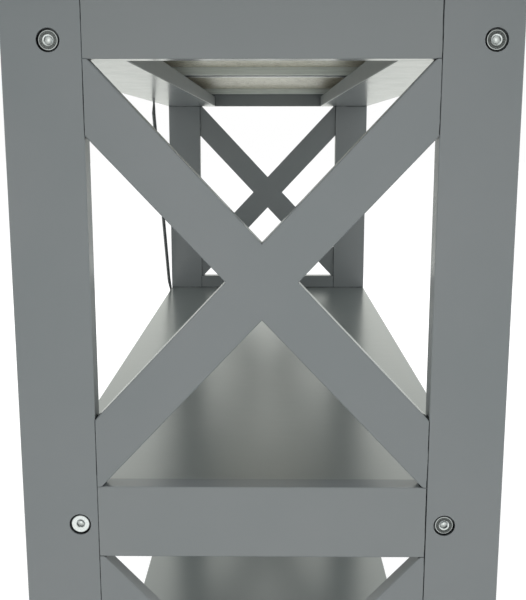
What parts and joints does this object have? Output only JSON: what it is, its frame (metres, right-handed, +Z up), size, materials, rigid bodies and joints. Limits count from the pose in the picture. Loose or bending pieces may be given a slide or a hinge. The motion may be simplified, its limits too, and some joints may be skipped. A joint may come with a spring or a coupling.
{
  "type": "console table",
  "caption": "Slim painted console table with crossed bars in its end frames, open shelves and inset drawers on wooden runners.",
  "frame": {"origin": "on the floor, under the middle of the table", "axes": "X along the length, -Y to the front where the drawers open, +Z up"},
  "size_m": [0.96, 0.36, 0.8],
  "materials": {
    "grey_paint": "semi-gloss grey paint on wood",
    "hardboard": "raw hardboard",
    "drawer_foil": "pale grey foil on drawer boards",
    "beech": "unfinished beech",
    "zinc_steel": "zinc-plated steel",
    "dark_steel": "dark painted steel",
    "knob_metal": "satin nickel",
    "glide_plastic": "matt black"
  },
  "bodies": {
    "table": {"back_long_rail": "grey_paint", "back_panel": "grey_paint", "bar_dowels": "beech", "barrel_nuts": "zinc_steel", "brace_screws": "zinc_steel", "centre_partition": "grey_paint", "dowels": "beech", "foot_glides": "glide_plastic", "frame_bolts": "zinc_steel", "front_long_rail": "grey_paint", "left_back_brace": "dark_steel", "left_back_leg": "grey_paint", "left_front_leg": "grey_paint", "left_inner_runner": "beech", "left_low_rail": "grey_paint", "left_lower_back_bar": "grey_paint", "left_lower_front_bar": "grey_paint", "left_mid_rail": "grey_paint", "left_outer_runner": "beech", "left_top_rail": "grey_paint", "left_upper_back_bar": "grey_paint", "left_upper_front_bar": "grey_paint", "low_shelf": "grey_paint", "mid_shelf": "grey_paint", "right_back_brace": "dark_steel", "right_back_leg": "grey_paint", "right_front_leg": "grey_paint", "right_inner_runner": "beech", "right_low_rail": "grey_paint", "right_lower_back_bar": "grey_paint", "right_lower_front_bar": "grey_paint", "right_mid_rail": "grey_paint", "right_outer_runner": "beech", "right_top_rail": "grey_paint", "right_upper_back_bar": "grey_paint", "right_upper_front_bar": "grey_paint", "runner_screws": "zinc_steel", "table_top": "grey_paint", "top_cams": "zinc_steel", "top_posts": "zinc_steel"},
    "left_drawer": {"left_drawer_back": "drawer_foil", "left_drawer_bottom": "hardboard", "left_drawer_front": "grey_paint", "left_drawer_inner_side": "drawer_foil", "left_drawer_knob": "knob_metal", "left_drawer_knob_screw": "zinc_steel", "left_drawer_outer_side": "drawer_foil"},
    "right_drawer": {"right_drawer_back": "drawer_foil", "right_drawer_bottom": "hardboard", "right_drawer_front": "grey_paint", "right_drawer_inner_side": "drawer_foil", "right_drawer_knob": "knob_metal", "right_drawer_knob_screw": "zinc_steel", "right_drawer_outer_side": "drawer_foil"}
  },
  "joints": [
    {"name": "left_drawer_slide", "type": "slide", "parent": "table", "child": "left_drawer", "axis": [0, -1, 0], "range_m": [0, 0.2]},
    {"name": "right_drawer_slide", "type": "slide", "parent": "table", "child": "right_drawer", "axis": [0, -1, 0], "range_m": [0, 0.2]}
  ]
}
